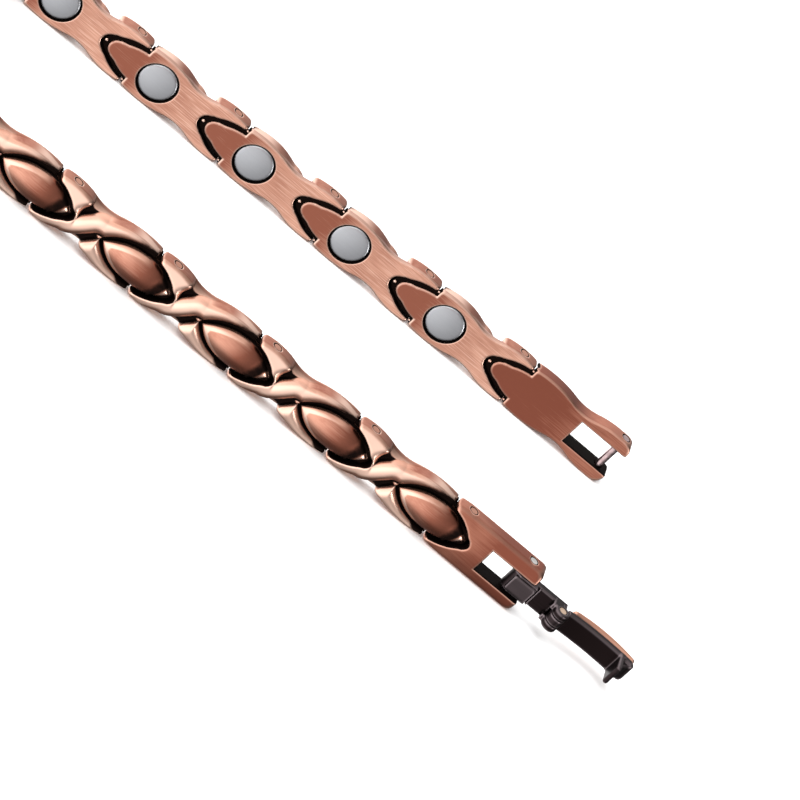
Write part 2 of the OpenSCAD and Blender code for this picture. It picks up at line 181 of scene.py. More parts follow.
def arch(u, v, l, b, nose):
    """Pointed arch from a root of half width b at u = 0 to its round nose at u = l."""
    mu, mv = arc_reach(l, b)
    flank = np.hypot(u - mu, np.abs(v) - mv) - ARCH_R
    body = np.maximum(flank, u - (l - nose))
    return smin(body, np.hypot(u - (l - nose), v) - nose, ARCH_ROUND)


def lens(u, v, l, w):
    """Pointed oval of length l and width w about (0, 0)."""
    hl, hw = l / 2, w / 2
    r = (hl ** 2 + hw ** 2) / (2 * hw)
    return np.hypot(u, np.abs(v) + r - hw) - r


def bulge_r(du):
    dh = HALF_W - WAIST_HALF
    return (du ** 2 + dh ** 2) / (2 * dh) - WAIST_R


def half_width(u):
    """Half width of a link: two bulges joined by a hollow waist."""
    prong_r, shoulder_r = bulge_r(WAIST_U - PIN_U), bulge_r(SHOULDER_U - WAIST_U)
    t1 = PIN_U + (WAIST_U - PIN_U) * prong_r / (prong_r + WAIST_R)
    t2 = WAIST_U + (SHOULDER_U - WAIST_U) * WAIST_R / (shoulder_r + WAIST_R)

    def dome(c, r):
        return HALF_W - r + np.sqrt(np.clip(r ** 2 - (u - c) ** 2, 1, None))

    waist = WAIST_HALF + WAIST_R - np.sqrt(np.clip(WAIST_R ** 2 - (u - WAIST_U) ** 2, 1, None))
    beyond = np.where(u > t2, dome(SHOULDER_U, shoulder_r), waist)
    return np.where(u < t1, dome(PIN_U, prong_r), beyond)


def crown(v, w):
    r = (HALF_W ** 2 + (CROWN_H - SIDE_H) ** 2) / (2 * (CROWN_H - SIDE_H))
    return np.hypot(v, w - CROWN_H + r) - r


def band_edge(u, v):
    """Signed distance from the upper band's left edge, positive above and to its left."""
    turned = (u - CROSS_U + BAND_SHIFT) / BAND_TURN
    x = np.clip(turned, -1, 1) * math.pi / 2
    beyond = turned - np.clip(turned, -1, 1)   # past its turn the edge leaves the plate
    slope = BAND_SWING * math.pi / 2 / BAND_TURN * np.cos(x)
    return (v - BAND_V - BAND_SWING * np.sin(x) - BAND_LEAVES * beyond) / np.sqrt(1 + slope ** 2)


def link_grooves(u, v):
    """Distance from the grooves of the front: negative inside them."""
    left = band_edge(u, v)
    right = band_edge(2 * CROSS_U - u, -v)
    upper = np.maximum(-left, UPPER_U + UPPER_BOW * (v - UPPER_V) ** 2 - u)
    slant = (u - LOWER_U - LOWER_LEAN * v) / math.hypot(1, LOWER_LEAN)
    lower = smax(np.maximum(-right, slant), v - LOWER_V, LOWER_ROUND)
    width = RING_W + RING_MORE * np.tanh((v + RING_LEAN * (u - EYE_U)) / RING_CHANGE)
    ring = lens(u - EYE_U, v, EYE_L, EYE_W) - width
    return np.minimum(np.minimum(upper, lower), ring)


def groove_shade(u, v):
    """Share of painted shade just above the grooves, where the bands turn down into them."""
    here = link_grooves(u, v)
    above = np.clip((here - link_grooves(u, v - SHADE_STEP)) / SHADE_STEP, 0, 1)
    return above * fade(here, *SHADE_REACH)


def eye_solid(u, v, w):
    sag = EYE_H - EYE_RIM
    ride = ((EYE_W / 2) ** 2 + sag ** 2) / (2 * sag)
    far = ((EYE_L / 2) ** 2 + sag ** 2) / (2 * sag)
    ring = np.hypot(np.hypot(u - EYE_U, w - EYE_H + far) - far + ride, v) - ride
    edge = lens(u - EYE_U, v, EYE_L, EYE_W)
    return np.maximum(smax(edge, ring, SOFT), MID_H - w)


def fork_hollow(u, v, w):
    through = arch(u, v, FRONT_NOTCH_L, NOTCH_HALF, FRONT_NOSE)
    under = np.maximum(arch(u, v, NOTCH_L, NOTCH_HALF, NOTCH_NOSE), w - NOTCH_H)
    mouth = np.maximum(u, np.abs(v) - NOTCH_HALF)
    return smin(np.minimum(through, under), mouth, CRISP)


def fork_tips(u, w):
    return np.where(u < PIN_U, np.hypot(u - PIN_U, w - MID_H) - TIP_R, -1.0)


def rod_hole(u, w, at, r):
    return np.hypot(u - at, w - MID_H) - r


def shoulder_hollow(u, w):
    return np.hypot(u - PITCH - PIN_U, w - MID_H) - HOLLOW_R


def tongue_outline(u, v, longer=0.0, wider=0.0):
    ahead = np.maximum(u - PITCH + TONGUE_ROOT, 0)
    flat = arch(ahead, v, TONGUE_L + TONGUE_ROOT + longer, TONGUE_HALF + wider, TONGUE_NOSE)
    return np.maximum(flat, PITCH - TONGUE_BACK - u)


def step_nubs(u, v, w):
    """Small round nubs at the nose and the two ends of the black step; their tops carry a painted
    highlight.
    """
    nose = np.hypot(u - PITCH - TONGUE_L - NUB_OFF, v) - NUB_R
    ends = np.hypot(u - PITCH - LIP_OVER, np.abs(v) - NUB_V) - NUB_R + NUB_LESS
    flat = np.minimum(nose, ends) + NUB_R
    return np.hypot(flat, w - STEP_MID + STEP_HALF) - NUB_R


def tongue_solid(u, v, w):
    """Pointed tongue, with a lower step round it that closes the fork hollow behind it."""
    tongue = smax(tongue_outline(u, v), w - TONGUE_H, SOFT)
    lip = rect(u, v, PITCH - TONGUE_BACK, PITCH + LIP_OVER, -LIP_HALF, LIP_HALF)
    step = np.minimum(tongue_outline(u, v, STEP_L, STEP_W), lip)
    step = smax(step, np.abs(w - STEP_MID) - STEP_HALF, CRISP)
    return smin(tongue, np.minimum(step, step_nubs(u, v, w)), NUB_BLEND)


def front_hollows(u, v, w):
    """The grooves between the raised bands, with a small glinting floor beside the eye."""
    bead = BEAD_RISE * np.exp(-((u - BEAD_U) ** 2 + (v - BEAD_V) ** 2) / BEAD_SPREAD)
    return np.maximum(link_grooves(u, v), FLOOR_H + bead - w)


def eye_hollow(u, v, w):
    return np.maximum(lens(u - EYE_U, v, EYE_L, EYE_W) - EYE_GROOVE, FLOOR_H - w)


def magnet_hollow(u, v, w):
    return np.maximum(np.hypot(u - MAGNET_U, v) - POCKET_R, w - POCKET_D)


def slot_hollow(u, v, u0, u1, half):
    return np.maximum(np.maximum(u0 - u, u - u1), np.abs(v) - half)


def carve(solid, *cuts):
    """Takes each (hollow, edge rounding) from a solid, and tells how far points are from them."""
    near = np.full_like(solid, FAR)
    for hollow, edge in cuts:
        solid = smax(solid, -hollow, edge)
        near = np.minimum(near, np.abs(hollow))
    return solid, near


def painted_glints(u, v, w):
    """Where the tops of the nubs are, which carry a painted highlight."""
    return (step_nubs(u, v, w) < NUB_SKIN) & (w < STEP_MID - STEP_HALF - NUB_TOP)


def with_tongue(body, near, u, v, w):
    """Adds tongue and eye to a plate, and leaves the step round the tongue black: patina, and
    painted shade in the gap.
    """
    eye, tongue = eye_solid(u, v, w), tongue_solid(u, v, w)
    body = smax(body, u - PITCH - TONGUE_ROOT, CRISP)
    body = smax(smin(smin(body, tongue, TONGUE_BLEND), eye, CRISP), -w, BACK_ROUND)
    near = np.where(np.minimum(eye, tongue) < SKIN, FAR, near)
    ledge = (tongue_outline(u, v) > -LEDGE_IN) & (u > PITCH - LEDGE_BACK)
    ledge = ledge & (w < LEDGE_H) & (tongue < SKIN)
    near = np.where(ledge, PATINA_AND_SHADE_REACH * fade(w, *LEDGE_BLACK), near)
    return body, np.where(painted_glints(u, v, w), FAR, near)


def fade(x, x0, x1):
    t = np.clip((x - x0) / (x1 - x0), 0, 1)
    return t * t * (3 - 2 * t)


def back_tint(u, w, plate, tip):
    """Darkness of the back: a satin plate that gets darker towards the tongue."""
    along = plate * fade(u, *BACK_PLATE) + (tip - plate) * fade(u, *BACK_TIP)
    return fade(w, *BACK_H) * along


def painted_side_shade(u, v, w):
    """Painted shade on the side walls, darkest in the waist."""
    wall = fade(np.abs(v) - half_width(u), *WALL_IN) * fade(w, *WALL_H)
    return wall * (WALL_TINT + WAIST_TINT * fade(np.abs(u - WAIST_U), *WALL_WAIST))


def eye_marks(u, v, w):
    """The eye's marks: painted highlights on its rim at the start and at its tip, painted shade
    along its face.
    """
    along = u - EYE_LEAN * v
    tip = fade(along, *EYE_TIP)
    free_of_patina_and_shade = (1 - EYE_SHADE_DARK * fade(along, *EYE_SHADED) * (1 - tip)) * fade(w, *EYE_WALL_H)
    edge = lens(u - EYE_U, v, EYE_L, EYE_W)
    rim = np.maximum(fade(edge, *EYE_EDGE) * fade(along, *EYE_EDGE_END), fade(u, *EYE_START))
    face = EYE_FACE_TINT + EYE_FACE_MORE * fade(along, *EYE_FACE)
    return PATINA_AND_SHADE_REACH * free_of_patina_and_shade, face + (HIGHLIGHT_TINT - face) * np.maximum(rim, tip)


def band_marks(u, v, w):
    """The bands' marks: painted shade on the side walls, above the grooves and at the far ends."""
    end = fade(u - BAND_END_LEAN * np.abs(v), *BAND_END_U) * fade(np.abs(v), *BAND_END_V)
    end = end * fade(w, *BAND_END_H)
    shade = groove_shade(u, v) * fade(w, *SHADE_H)
    painted_dark = np.maximum(BAND_END_DARK * end, SHADE_DARK * shade)
    tint = np.maximum(painted_side_shade(u, v, w), np.maximum(BAND_END_TINT * end, SHADE_TINT * shade))
    return PATINA_AND_SHADE_REACH * (1 - painted_dark), tint


def link(u, v, w):
    plate = smax(np.abs(v) - half_width(u), crown(v, w), PLATE_ROUND)
    body, near = carve(plate, (front_hollows(u, v, w), BAND_ROUND),
                       (shoulder_hollow(u, w), SHOULDER_ROUND))
    near = np.maximum(near, w - FLOOR_H - BAND_CLEAN_H)
    body, near = with_tongue(body, near, u, v, w)
    body = smax(body, fork_tips(u, w), FINE)
    body, more = carve(
        body, (fork_hollow(u, v, w), SOFT), (magnet_hollow(u, v, w), POCKET_ROUND),
        (rod_hole(u, w, PIN_U, BORE_R), CRISP), (rod_hole(u, w, PITCH + PIN_U, BORE_R), CRISP))
    # The eye and the bands carry painted shade and painted highlights as marks
    on_eye = eye_solid(u, v, w) < SKIN
    eye_near, eye_tint = eye_marks(u, v, w)
    band_near, band_tint = band_marks(u, v, w)
    near = np.where(on_eye, eye_near, np.minimum(near, band_near))
    tint = np.where(on_eye, eye_tint, band_tint)
    tint = np.maximum(tint, back_tint(u, w, *LINK_BACK_TINT))
    return body, np.minimum(near, more), np.where(painted_glints(u, v, w), HIGHLIGHT_TINT, tint)


def clasp_end(u, v, w):
    side = np.where(u < PIN_U, np.abs(v) - half_width(u), np.abs(v) - HALF_W)
    plate = smax(smax(side, u - CLASP_END_L, CLASP_END_ROUND), crown(v, w), PLATE_ROUND)
    plate = smax(smax(plate, -w, END_BACK_ROUND), fork_tips(u, w), FINE)
    body, near = carve(
        plate, (fork_hollow(u, v, w), SOFT),
        (slot_hollow(u, v, CLASP_SLOT_U, OPEN, CLASP_SLOT_HALF), FINE),
        (rod_hole(u, w, PIN_U, BORE_R), CRISP), (rod_hole(u, w, CLASP_PIN_U, BORE_R), CRISP))
    return body, near, CLASP_END_TINT + CLASP_END_MORE * fade(u, *CLASP_END_RANGE)


def bar_end(u, v, w):
    side = np.where(u < PIN_U, np.abs(v) - HALF_W, np.abs(v) - half_width(u))
    plate = smax(smax(side, -BAR_OVER - u, BAR_TIP_ROUND), crown(v, w), PLATE_ROUND)
    body, near = carve(plate, (eye_hollow(u, v, w), EYE_GROOVE_ROUND),
                       (shoulder_hollow(u, w), SHOULDER_ROUND))
    body, near = with_tongue(body, near, u, v, w)
    body, more = carve(
        body, (slot_hollow(u, v, -OPEN, BAR_SLOT_U, BAR_SLOT_HALF), FINE),
        (rod_hole(u, w, BAR_U, BORE_R), CRISP), (rod_hole(u, w, PITCH + PIN_U, BORE_R), CRISP))
    tint = BAR_END_TINT + BAR_END_MORE * fade(u, *BAR_END_RANGE)
    return body, np.minimum(near, more), np.where(painted_glints(u, v, w), HIGHLIGHT_TINT, tint)


def magnet(u, v, w):
    """Round magnet with a faintly domed face."""
    reach = np.hypot(u - MAGNET_U, v)
    face = MAGNET_SUNK + MAGNET_DOME * (reach / MAGNET_R) ** 2
    disc = smax(reach - MAGNET_R, np.maximum(face - w, w - MAGNET_TOP), MAGNET_ROUND)
    return disc, np.full_like(disc, FAR), 0 * disc


def rect(x, y, x0, x1, y0, y1):
    return np.maximum(np.maximum(x0 - x, x - x1), np.maximum(y0 - y, y - y1))


def arm(u, v, w):
    """Lower arm of the clasp: barrel on its pin, block, neck and two outer knuckles."""
    wide, block_wide = np.abs(v) - ARM_HALF, np.abs(v) - BLOCK_HALF
    barrel = np.hypot(u - CLASP_PIN_U, w - MID_H) - BARREL_R
    base = rect(u, w, CLASP_PIN_U, BLOCK_END_U, ARM_LOW, SIDE_H)
    block = rect(u, w, CLASP_PIN_U - BLOCK_BACK, BLOCK_END_U - BLOCK_LESS, ARM_LOW, BLOCK_H)
    ridge = rect(u, w, BLOCK_END_U + RIDGE_FROM, BLOCK_END_U + RIDGE_TO, ARM_LOW, RIDGE_H)
    neck = rect(u, w, CLASP_PIN_U, KNUCKLE_U - NECK_SHORT, ARM_LOW, NECK_H)
    neck = np.minimum(neck, rect(u, w, CLASP_PIN_U, KNUCKLE_U + TAIL_OVER, ARM_LOW, TAIL_H))
    stem = rect(u, w, KNUCKLE_U - STEM_BACK, KNUCKLE_U + STEM_OVER, ARM_LOW, KNUCKLE_H)
    ears = smin(from_knuckle(u, w) - KNUCKLE_R, stem, SOFT)
    ears = smax(ears, EAR_IN - np.abs(v), EAR_IN_ROUND)
    low = np.minimum(np.minimum(smin(barrel, base, FINE), neck), ridge)
    solid = np.minimum(smax(low, wide, ARM_ROUND), smax(block, block_wide, BLOCK_ROUND))
    solid = np.minimum(solid, smax(ears, wide, EAR_ROUND))
    solid, near = carve(solid, (rod_hole(u, w, CLASP_PIN_U, CLASP_BORE_R), CRISP),
                        (from_knuckle(u, w) - EAR_BORE_R, CRISP))
    return solid, near, ARM_TINT + ARM_MORE * fade(u, *ARM_RANGE)


def from_knuckle(u, w):
    """Distance from the axis of the clasp's middle hinge."""
    return np.hypot(u - KNUCKLE_U, w - KNUCKLE_H)


def cover_bow(u):
    """Share of the way from the middle of the open cover to its ends, squared."""
    middle = (PLATE_U + COVER_END_U) / 2
    return ((u - middle) / (COVER_END_U - middle)) ** 2


def cover_inner(u):
    """Height of the open cover's inner face, which is bowed like the wrist."""
    return COVER_IN - COVER_BOW * (1 - np.clip(cover_bow(u), 0, 1))


def hook(u, v, w):
    """Hook at the cover's end, with a sloping heel behind it."""
    middle, top = HOOK_U + HOOK_T / 2, COVER_IN + HOOK_H - HOOK_T / 2
    root = COVER_IN - HOOK_ROOT
    bar = np.hypot(u - middle, w - np.clip(w, root, top)) - HOOK_T / 2
    heel = HEEL_SLOPE[0] * (u - HOOK_U - HOOK_T - HEEL_L) + HEEL_SLOPE[1] * (w - COVER_IN)
    heel = np.maximum(np.maximum(heel, middle - u), root - w)
    side = np.abs(v) - ARM_HALF
    return np.minimum(smax(bar, side, SOFT), smax(heel, side + HEEL_IN, FINE))


def cover(u, v, w):
    """Folding cover: middle knuckle, bowed inner plate and hook."""
    inner = cover_inner(u)
    web = rect(u, w, KNUCKLE_U, PLATE_U + WEB_OVER, COVER_IN - WEB_T, COVER_IN)
    web = np.maximum(web, w - inner + WEB_LOW)
    knuckle = smin(from_knuckle(u, w) - KNUCKLE_R, web, SOFT)
    knuckle = smax(knuckle, np.abs(v) - MID_KNUCKLE_HALF, KNUCKLE_ROUND)
    plate = np.maximum(w - inner, inner - PLATE_T - w)
    plate = smax(plate, np.abs(v) - ARM_HALF, COVER_ROUND)
    plate = smax(smax(plate, PLATE_U - u, COVER_FOOT_ROUND), u - COVER_END_U, COVER_END_ROUND)
    plate = np.maximum(plate, KNUCKLE_R + PLATE_GAP - from_knuckle(u, w))
    solid = np.minimum(knuckle, smin(hook(u, v, w), plate, HOOK_BLEND))
    solid, near = carve(solid, (from_knuckle(u, w) - MID_BORE_R, CRISP))
    inside = fade(u, *COVER_SHADE_U) * fade(w, *COVER_SHADE_H)
    return solid, near, COVER_TINT + COVER_MORE * inside


def cap(u, v, w):
    """Copper cap on the outside of the cover, swept along its length and crowned across."""
    top = cover_inner(u) - PLATE_T - CAP_GAP
    low = CAP_LOW + CAP_SAG * cover_bow(u) + CAP_CROWN * (v / CAP_HALF) ** 2
    solid = smax(np.maximum(w - top, low - w), np.abs(v) - CAP_HALF, CAP_ROUND)
    solid = smax(solid, KNUCKLE_U + CAP_U - u, CAP_END_ROUND)
    solid = smax(solid, u - COVER_END_U, CAP_END_ROUND)
    return solid, np.full_like(solid, FAR), 0 * solid


NET_ROUNDS = 3          # times that the mesh points are drawn onto the surface
LEAST_SLOPE = 0.2       # guards against flat spots of a distance
LONGEST_MOVE = 0.4      # of a grid step, in one round
SMALL, TINY = 1e-6, 1e-9


def net(solid, lo, hi, step):
    """Closed mesh of where solid(u, v, w) < 0: one point a cell, drawn onto the surface."""
    lo = np.array(lo, float)
    sizes = [int(math.ceil((b - a) / step)) + 1 for a, b in zip(lo, hi)]
    axes = [a + step * np.arange(n) for a, n in zip(lo, sizes)]
    d = solid(*np.meshgrid(*axes, indexing="ij"))[0]
    total = np.zeros([n - 1 for n in sizes] + [3])
    count = np.zeros([n - 1 for n in sizes], int)
    corners = []
    for a in range(3):
        b, c = (a + 1) % 3, (a + 2) % 3
        d0, d1 = (np.take(d, range(s, sizes[a] - 1 + s), axis=a) for s in (0, 1))
        at = np.argwhere((d0 < 0) != (d1 < 0))
        x0, x1 = d0[tuple(at.T)], d1[tuple(at.T)]
        point = lo + step * at
        point[:, a] += step * x0 / (x0 - x1)
        around = []
        for ob, oc in ((1, 1), (0, 1), (0, 0), (1, 0)):
            cell = at.copy()
            cell[:, b] -= ob
            cell[:, c] -= oc
            np.add.at(total, tuple(cell.T), point)
            np.add.at(count, tuple(cell.T), 1)
            around.append(np.ravel_multi_index(cell.T, count.shape))
        quads = np.stack(around, 1)
        quads[x0 >= 0] = quads[x0 >= 0][:, ::-1]
        corners.append(quads)
    used = np.flatnonzero(count.ravel())
    points = total.reshape(-1, 3)[used] / count.ravel()[used, None]
    number = np.full(count.size, -1)
    number[used] = np.arange(len(used))
    faces = number[np.vstack(corners)]
    for _ in range(NET_ROUNDS):
        value, slope = gradient(solid, points)
        move = slope * (value / np.clip((slope ** 2).sum(1), LEAST_SLOPE, None))[:, None]
        size = np.linalg.norm(move, axis=1, keepdims=True)
        points = points - move * np.minimum(1, LONGEST_MOVE * step / np.maximum(size, TINY))
    return points, faces


def gradient(solid, points, e=0.01):
    steps = e * np.eye(3)
    slope = [(solid(*(points + d).T)[0] - solid(*(points - d).T)[0]) / (2 * e) for d in steps]
    return solid(*points.T)[0], np.stack(slope, 1)


def wear(solid, points):
    """For each point: nearness to a dark hollow (also painted shade), depth, sharpness of the
    edge, darkness (also painted light).
    """
    _, slope = gradient(solid, points)
    normal = slope / np.maximum(np.linalg.norm(slope, axis=1, keepdims=True), SMALL)
    _, near, tint = solid(*points.T)
    hollow = np.clip(1 - near / PATINA_AND_SHADE_REACH, 0, 1)
    deep, sharp = np.zeros(len(points)), np.zeros(len(points))
    for reach in DEEP_REACH:
        outer = solid(*(points + normal * reach).T)[0]
        deep += np.clip(1 - outer / reach, 0, 2) / len(DEEP_REACH)
    for reach in SHARP_REACH:
        inner = solid(*(points - normal * reach).T)[0]
        sharp += np.clip(1 + inner / reach, 0, 2) / len(SHARP_REACH)
    facing = fade(normal[:, 2], *RUBBED_FACING)
    rubbed = RUBBED * facing * fade(points[:, 2], *RUBBED_H) * fade(tint, *RUBBED_TINT)
    return hollow, deep, np.maximum(sharp, rubbed), tint


# Materials

class Nodes:
    """Short names for building one material's node tree."""

    def __init__(self, name):
        self.material = bpy.data.materials.new(name)
        self.material.use_nodes = True
        self.tree = self.material.node_tree
        self.shader = self.tree.nodes["Principled BSDF"]

    def add(self, kind, **settings):
        node = self.tree.nodes.new(kind)
        for key, value in settings.items():
            setattr(node, key, value)
        return node

    def put(self, value, socket):
        if hasattr(value, "is_output"):
            self.tree.links.new(value, socket)
        else:
            socket.default_value = value

    def attribute(self, name):
        node = self.add("ShaderNodeAttribute", attribute_name=name)
        return node.outputs["Vector" if name == "local" else "Fac"]

    def math(self, operation, a, b=0.0, clamp=False):
        node = self.add("ShaderNodeMath", operation=operation, use_clamp=clamp)
        self.put(a, node.inputs[0])
        self.put(b, node.inputs[1])
        return node.outputs[0]

    def span(self, value, low, high, to_low=0.0, to_high=1.0):
        node = self.add("ShaderNodeMapRange", interpolation_type="SMOOTHSTEP")
        for socket, v in zip(node.inputs, (value, low, high, to_low, to_high)):
            self.put(v, socket)
        return node.outputs[0]

    def noise(self, vector, scale, stretch=(1, 1, 1), detail=3.0):
        mapping = self.add("ShaderNodeMapping")
        self.put(vector, mapping.inputs["Vector"])
        mapping.inputs["Scale"].default_value = stretch
        node = self.add("ShaderNodeTexNoise")
        self.put(mapping.outputs[0], node.inputs["Vector"])
        node.inputs["Scale"].default_value = scale
        node.inputs["Detail"].default_value = detail
        return node.outputs["Fac"]

    def mix(self, factor, a, b):
        node = self.add("ShaderNodeMix", data_type="RGBA")
        self.put(factor, node.inputs["Factor"])
        self.put(a if hasattr(a, "is_output") else (*a, 1), node.inputs["A"])
        self.put(b if hasattr(b, "is_output") else (*b, 1), node.inputs["B"])
        return next(o for o in node.outputs if o.type == "RGBA")

    def bump(self, height, strength, distance):
        node = self.add("ShaderNodeBump")
        node.inputs["Strength"].default_value = strength
        node.inputs["Distance"].default_value = distance
        self.put(height, node.inputs["Height"])
        self.put(node.outputs[0], self.shader.inputs["Normal"])


# Black of the patina, also used for painted shade
BLACK_PATINA_AND_SHADE = (0.012, 0.007, 0.006)
BRUSH = {"scale": 1.0, "stretch": (0.25, 7, 7), "detail": 4}    # fine streaks along a piece
CLOUD = {"scale": 0.45, "stretch": (0.6, 1, 1), "detail": 2}    # broad patches
STAIN = {"scale": 1.6, "detail": 4}
BACK_FROM, BACK_TO = 0.3, 0.2       # heights between which a piece's back begins
FRONT_FROM, FRONT_TO = 1.5, 1.9     # and its front
BRUSH_SHARE, BACK_BRUSH_SHARE = 0.25, 0.55
EDGE_SHARE, DEPTH_SHARE, STAIN_SHARE = 0.8, 0.9, 0.2
TONE_RANGE = 0.3, 0.7, 0.5, 1.1     # from noise to the share of the middle colour
PATCH_LEAST, PATCH_SHARE = 0.2, 1.6
EDGE_RANGE, SHADED_RANGE, PATINA_AND_SHADE_RANGE = (0.08, 0.5), (0.1, 0.7), (0.3, 0.75)
SCRATCH_RANGE, SCRATCHED_TINT = (0.5, 0.68), (0.45, 0.1)
LESS_ROUGH, PATINA_AND_SHADE_ROUGH, BRUSH_ROUGH = 0.05, 0.4, 0.12
BUMP_STRENGTH, BUMP_HEIGHT = 0.12, 0.00004


def rubbed_metal(name, light, mid, dark, roughness, patina_and_shade_colour=BLACK_PATINA_AND_SHADE, scratched=0.0, shade_dims_edges=0.0):
    """Cast metal: brushed along its length, dark in hollows, light on edges, scratched behind; it
    also shows the painted shade and painted highlights of its marks.
    """
    n = Nodes(name)
    local = n.attribute("local")
    brush, cloud, stain = n.noise(local, **BRUSH), n.noise(local, **CLOUD), n.noise(local, **STAIN)
    split = n.add("ShaderNodeSeparateXYZ")
    n.put(local, split.inputs[0])
    height = split.outputs["Z"]
    on_back = n.span(height, BACK_FROM, BACK_TO)
    darkness = n.attribute("tint")

    share = n.span(height, BACK_FROM, BACK_TO, BRUSH_SHARE, BACK_BRUSH_SHARE)
    tone = n.math("ADD", cloud, n.math("MULTIPLY", n.math("SUBTRACT", brush, cloud), share))
    patchy = n.math("ADD", PATCH_LEAST, n.math("MULTIPLY", cloud, PATCH_SHARE))
    mottled = n.math("MULTIPLY", darkness, patchy)
    shade = n.math("SUBTRACT", n.span(tone, *TONE_RANGE), mottled)
    colour = n.mix(n.math("ADD", shade, 0.0, True), dark, mid)

    edge = n.span(n.attribute("sharp"), *EDGE_RANGE)
    # Painted shade on the front also hides the light edges
    on_front = n.span(height, FRONT_FROM, FRONT_TO)
    shaded = n.math("MULTIPLY", on_front, n.span(darkness, *SHADED_RANGE))
    kept = n.math("SUBTRACT", 1.0, n.math("MULTIPLY", shaded, shade_dims_edges))
    edge = n.math("MULTIPLY", edge, kept)
    scratch = n.span(brush, *SCRATCH_RANGE, 0.0, scratched)
    scratch = n.math("MULTIPLY", scratch, n.span(mottled, *SCRATCHED_TINT))
    scratch = n.math("MULTIPLY", scratch, on_back)
    # Pale tint gives painted highlights, next to the scratches
    scratches_and_highlights = n.math("MAXIMUM", scratch, n.span(darkness, 0.0, HIGHLIGHT_TINT))
    wear_and_highlights = n.math("MAXIMUM", n.math("MULTIPLY", edge, EDGE_SHARE), scratches_and_highlights)
    colour = n.mix(wear_and_highlights, colour, light)

    # Dark in hollows: patina, and painted shade given as nearness
    deep = n.math("MULTIPLY", n.attribute("deep"), DEPTH_SHARE)
    depth = n.math("ADD", n.attribute("hollow"), deep)
    blotch = n.math("MULTIPLY", n.math("SUBTRACT", stain, 0.5), STAIN_SHARE)
    patina_and_shade_share = n.span(n.math("ADD", depth, blotch), *PATINA_AND_SHADE_RANGE)
    n.put(n.mix(patina_and_shade_share, colour, patina_and_shade_colour), n.shader.inputs["Base Color"])
    rough = n.math("ADD", roughness - LESS_ROUGH, n.math("MULTIPLY", brush, BRUSH_ROUGH))
    rough = n.math("ADD", rough, n.math("MULTIPLY", patina_and_shade_share, PATINA_AND_SHADE_ROUGH), True)
    n.put(rough, n.shader.inputs["Roughness"])
    n.shader.inputs["Metallic"].default_value = 1.0
    n.bump(brush, BUMP_STRENGTH, BUMP_HEIGHT)
    return n.material


copper = rubbed_metal(
    "antique_copper", light=(0.97, 0.67, 0.54), mid=(0.80, 0.43, 0.31), dark=(0.32, 0.11, 0.07),
    roughness=0.3, scratched=0.4, shade_dims_edges=0.8)
end_copper = rubbed_metal(
    "dark_copper", light=(0.92, 0.55, 0.42), mid=(0.68, 0.30, 0.20), dark=(0.26, 0.08, 0.05),
    roughness=0.34)
gunmetal = rubbed_metal(
    "clasp_black", light=(0.26, 0.21, 0.22), mid=(0.042, 0.030, 0.032), dark=(0.014, 0.009, 0.009),
    roughness=0.38, patina_and_shade_colour=(0.01, 0.008, 0.008))
cap_copper = rubbed_metal(
    "cap_copper", light=(0.9, 0.52, 0.38), mid=(0.66, 0.30, 0.20), dark=(0.35, 0.13, 0.08),
    roughness=0.3)
steel = rubbed_metal(
    "magnet_steel", light=(0.78, 0.79, 0.81), mid=(0.42, 0.425, 0.445), dark=(0.37, 0.375, 0.395),
    roughness=0.32, patina_and_shade_colour=(0.05, 0.05, 0.05))

PIN_CLOUD = 900.0           # noise scale on the CAD pins, which are in metres
PIN_COPPER = (0.35, 0.14, 0.09), (0.68, 0.36, 0.26)
PIN_END = 0.0027, 0.0029    # distance from the band's middle where a pin's end begins to show
PIN_MOTTLE, PIN_ROUGH, PIN_MORE_ROUGH = (0.3, 0.7), 0.3, 0.15
PLAIN_DARKER, PLAIN_LESS_ROUGH, PLAIN_MORE_ROUGH = 0.6, 0.05, 0.1


def plain_metal(name, colour, roughness):
    """Slightly mottled metal for the pins and the bar, which the CAD model shows itself."""
    n = Nodes(name)
    coordinates = n.add("ShaderNodeTexCoord").outputs["Object"]
    cloud = n.noise(coordinates, PIN_CLOUD)
    darker = tuple(PLAIN_DARKER * c for c in colour)
    n.put(n.mix(n.span(cloud, *PIN_MOTTLE), darker, colour), n.shader.inputs["Base Color"])
    rough = n.math("MULTIPLY", cloud, PLAIN_MORE_ROUGH)
    rough = n.math("ADD", roughness - PLAIN_LESS_ROUGH, rough)
    n.put(rough, n.shader.inputs["Roughness"])
    n.shader.inputs["Metallic"].default_value = 1.0
    return n.material


def riveted_pin():
    """Joint pin: black inside the fork, and rubbed copper on the two ends that show."""
    n = Nodes("joint_pin")
    place = n.add("ShaderNodeTexCoord").outputs["Object"]
    split = n.add("ShaderNodeSeparateXYZ")
    n.put(place, split.inputs[0])
    off = n.math("ABSOLUTE", n.math("SUBTRACT", split.outputs["Z"], HALF_W * MM))
    cloud = n.noise(place, PIN_CLOUD)
    copper_end = n.mix(cloud, *PIN_COPPER)
    n.put(n.mix(n.span(off, *PIN_END), BLACK_PATINA_AND_SHADE, copper_end), n.shader.inputs["Base Color"])
    rough = n.math("ADD", PIN_ROUGH, n.math("MULTIPLY", cloud, PIN_MORE_ROUGH))
    n.put(rough, n.shader.inputs["Roughness"])
    n.shader.inputs["Metallic"].default_value = 1.0
    return n.material


joint_pin = riveted_pin()
pin_silver = plain_metal("pin_silver", (0.80, 0.77, 0.74), roughness=0.25)
pin_cream = plain_metal("pin_cream", (0.72, 0.52, 0.38), roughness=0.3)
bar_metal = plain_metal("bar_metal", (0.52, 0.38, 0.38), roughness=0.22)


# Pieces

